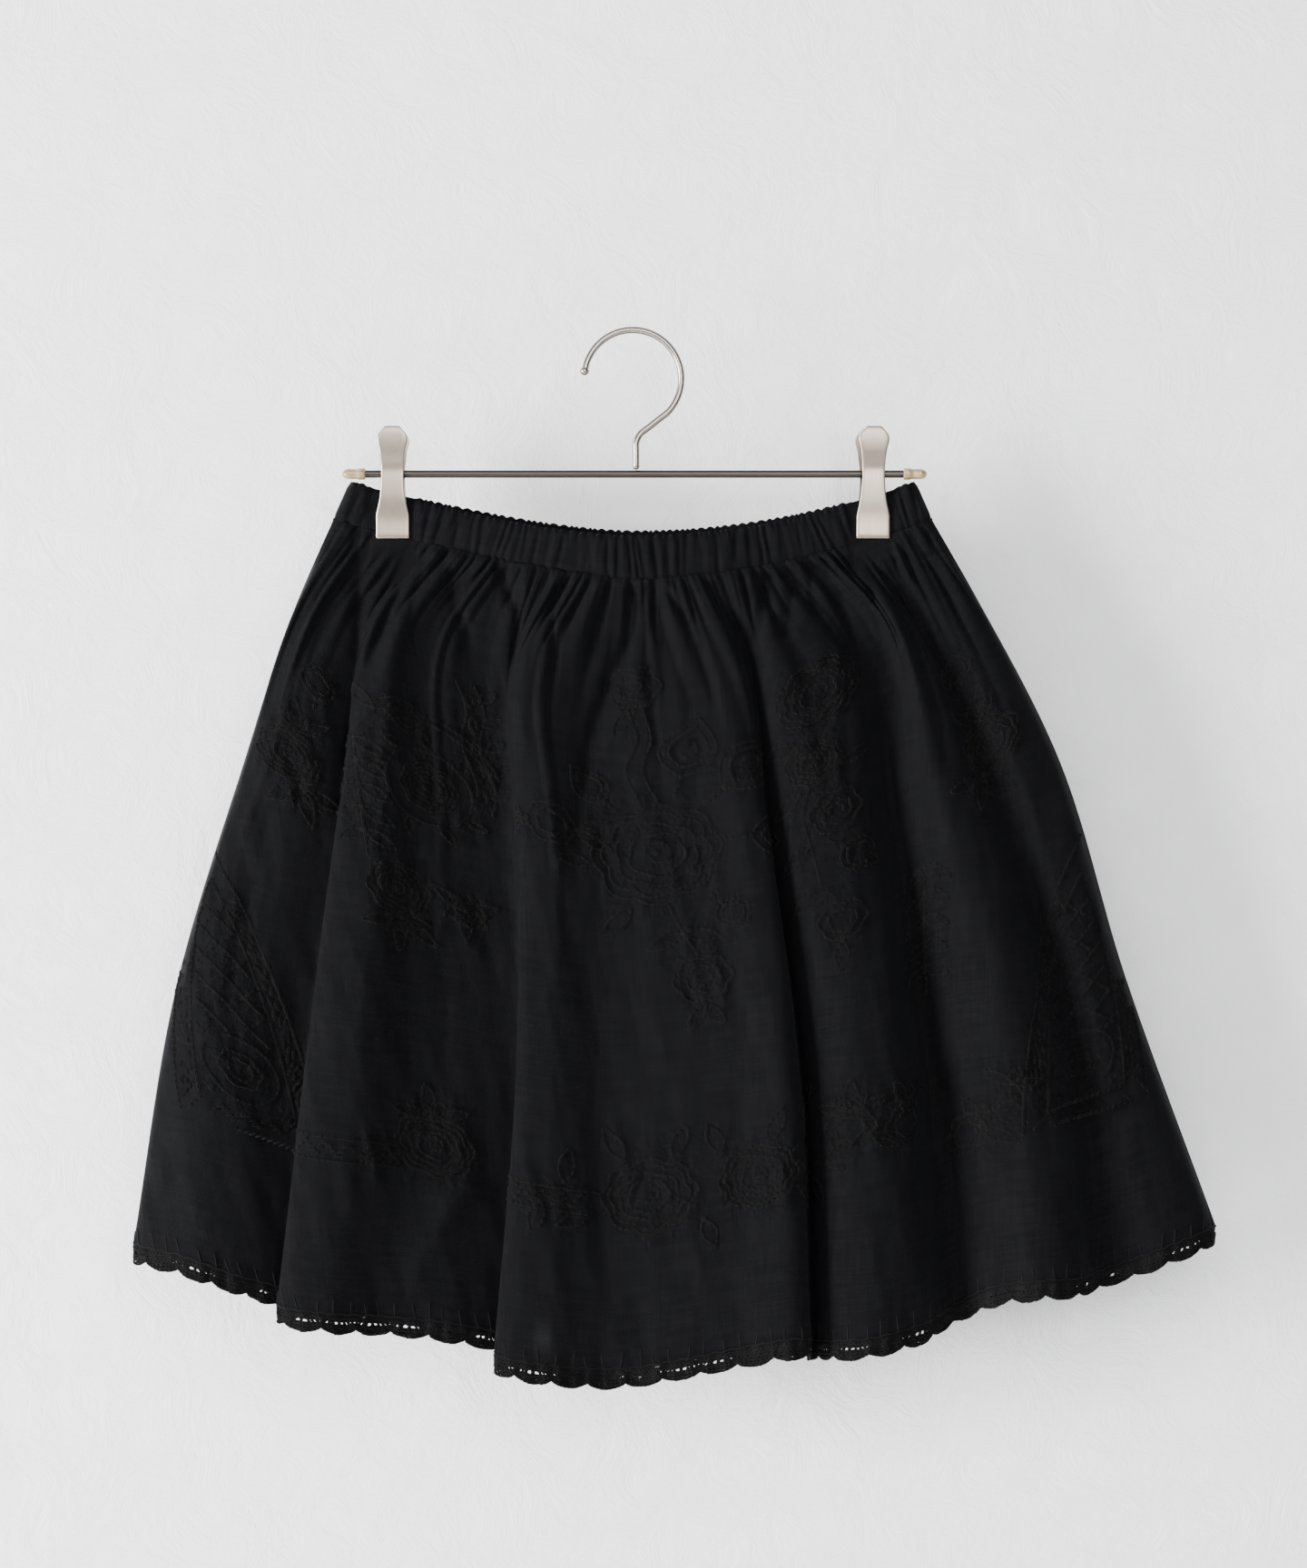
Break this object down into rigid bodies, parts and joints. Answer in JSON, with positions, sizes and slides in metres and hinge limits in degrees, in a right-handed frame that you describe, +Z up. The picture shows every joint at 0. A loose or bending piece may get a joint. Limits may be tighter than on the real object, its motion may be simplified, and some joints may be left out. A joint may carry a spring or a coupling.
{
  "type": "embroidered mini skirt on a clip hanger",
  "caption": "Flared mini skirt with a gathered elastic waist and a crochet hem, held flat by the two clips of a wire hanger and hung by its hook.",
  "frame": {"origin": "inside of the crown of the hanger's hook, where the rod that it hangs on touches it", "axes": "+Z up through the hook, +X along the bar to the right as seen from the front, the skirt's front faces -Y"},
  "size_m": [0.5961, 0.099, 0.5781],
  "materials": {
    "cloth": "plain weave, soft sheen",
    "embroidery_thread": "stranded cotton",
    "crochet_thread": "matte cotton",
    "hanger_wire": "satin nickel",
    "clip_metal": "satin nickel",
    "end_cap": "soft translucent"
  },
  "bodies": {
    "root": {"skirt_front": "cloth", "skirt_back": "cloth", "waistband_front": "cloth", "waistband_back": "cloth", "hem_lace_front": "crochet_thread", "hem_lace_back": "crochet_thread", "hanger_hook": "hanger_wire", "hanger_bar": "hanger_wire", "hanger_cap_left": "end_cap", "hanger_cap_right": "end_cap", "clip_left_front": "clip_metal", "clip_left_back": "clip_metal", "clip_left_spring": "hanger_wire", "clip_right_front": "clip_metal", "clip_right_back": "clip_metal", "clip_right_spring": "hanger_wire"}
  },
  "joints": []
}
